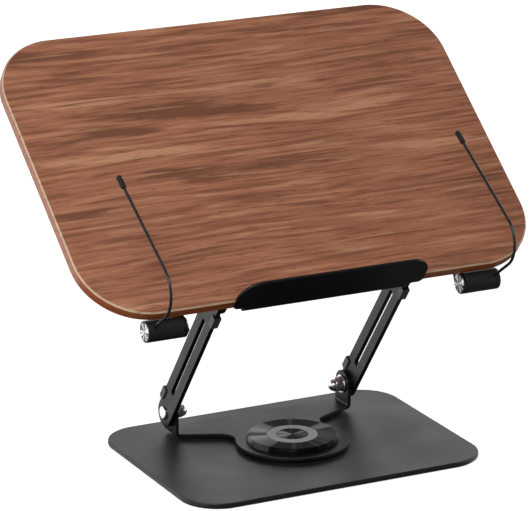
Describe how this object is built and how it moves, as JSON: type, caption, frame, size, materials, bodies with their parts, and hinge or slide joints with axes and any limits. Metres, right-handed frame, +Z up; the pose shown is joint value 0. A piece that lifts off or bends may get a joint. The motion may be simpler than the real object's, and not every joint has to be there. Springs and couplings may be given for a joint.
{
  "type": "folding book stand",
  "caption": "Wooden reading board on two folding black steel arms, with a ledge in front, two wire page holders and a swivelling steel base.",
  "frame": {"origin": "centre of the base, on the face that stands on the table", "axes": "+Z up, +X to the reader's right, +Y away from the reader, towards the top of the board"},
  "size_m": [0.3632, 0.2331, 0.2957],
  "materials": {
    "base_steel": "grey-black powder coat, fine texture",
    "black_steel": "black powder coat, satin",
    "spun_black": "black anodised with fine concentric turning",
    "satin_ring": "satin grey",
    "chrome": "polished plate",
    "zinc": "bright zinc plate",
    "black_plastic": "matt moulded",
    "coated_wire": "smooth black coat",
    "rubber": "soft, matt",
    "walnut": "walnut stain under satin lacquer"
  },
  "bodies": {
    "base": {"base_plate": "base_steel", "base_pad": "rubber", "swivel_slip_washer": "black_plastic", "swivel_bolt": "zinc", "swivel_thrust_washer": "zinc", "swivel_nut": "zinc"},
    "swivel": {"swivel_bracket": "black_steel", "swivel_hub": "spun_black", "hub_ring": "satin_ring", "hub_cap": "spun_black", "left_lower_bolt": "chrome", "left_lower_friction_washer": "black_plastic", "left_lower_flat_washer": "chrome", "left_lower_spring_washer": "zinc", "left_lower_dome_nut": "chrome", "right_lower_bolt": "chrome", "right_lower_friction_washer": "black_plastic", "right_lower_flat_washer": "chrome", "right_lower_spring_washer": "zinc", "right_lower_dome_nut": "chrome"},
    "arms": {"left_arm": "black_steel", "right_arm": "black_steel", "left_rear_bumper": "rubber", "right_rear_bumper": "rubber", "left_front_bumper": "rubber", "right_front_bumper": "rubber"},
    "upper_pivots": {"left_upper_bolt": "chrome", "left_upper_friction_washer": "black_plastic", "left_upper_flat_washer": "chrome", "left_upper_spring_washer": "zinc", "left_upper_dome_nut": "chrome", "right_upper_bolt": "chrome", "right_upper_friction_washer": "black_plastic", "right_upper_flat_washer": "chrome", "right_upper_spring_washer": "zinc", "right_upper_dome_nut": "chrome"},
    "board": {"board_bracket": "black_steel", "board": "walnut", "bracket_screw_1": "zinc", "bracket_screw_2": "zinc", "bracket_screw_3": "zinc", "bracket_screw_4": "zinc", "left_holder_bracket": "black_steel", "left_holder_screw_1": "zinc", "left_holder_screw_2": "zinc", "left_holder_pin": "chrome", "right_holder_bracket": "black_steel", "right_holder_screw_1": "zinc", "right_holder_screw_2": "zinc", "right_holder_pin": "chrome"},
    "left_holder": {"left_barrel": "black_plastic", "left_barrel_cap": "chrome", "left_wire": "coated_wire", "left_wire_tip": "rubber"},
    "right_holder": {"right_barrel": "black_plastic", "right_barrel_cap": "chrome", "right_wire": "coated_wire", "right_wire_tip": "rubber"}
  },
  "joints": [
    {"name": "base_swivel", "type": "hinge", "parent": "base", "child": "swivel", "pos_m": [0, 0, 0], "axis": [0, 0, 1], "continuous": true},
    {"name": "arm_tilt", "type": "hinge", "parent": "swivel", "child": "arms", "pos_m": [0, 0.0562, 0.0235], "axis": [1, 0, 0], "range_deg": [-52, 53]},
    {"name": "link_level", "type": "hinge", "parent": "arms", "child": "upper_pivots", "pos_m": [0, -0.02805, 0.13531], "axis": [-1, 0, 0], "range_deg": [-52, 53]},
    {"name": "board_tilt", "type": "hinge", "parent": "upper_pivots", "child": "board", "pos_m": [0, -0.02805, 0.13531], "axis": [-1, 0, 0], "range_deg": [-34, 38]},
    {"name": "left_holder_turn", "type": "hinge", "parent": "board", "child": "left_holder", "pos_m": [-0.12775, -0.05001, 0.12732], "axis": [1, 0, 0], "range_deg": [-14.8, 110]},
    {"name": "right_holder_turn", "type": "hinge", "parent": "board", "child": "right_holder", "pos_m": [0.12775, -0.05001, 0.12732], "axis": [1, 0, 0], "range_deg": [-14.8, 110]}
  ],
  "couplings": [
    {"joint": "link_level", "follows": "arm_tilt", "ratio": 1}
  ]
}
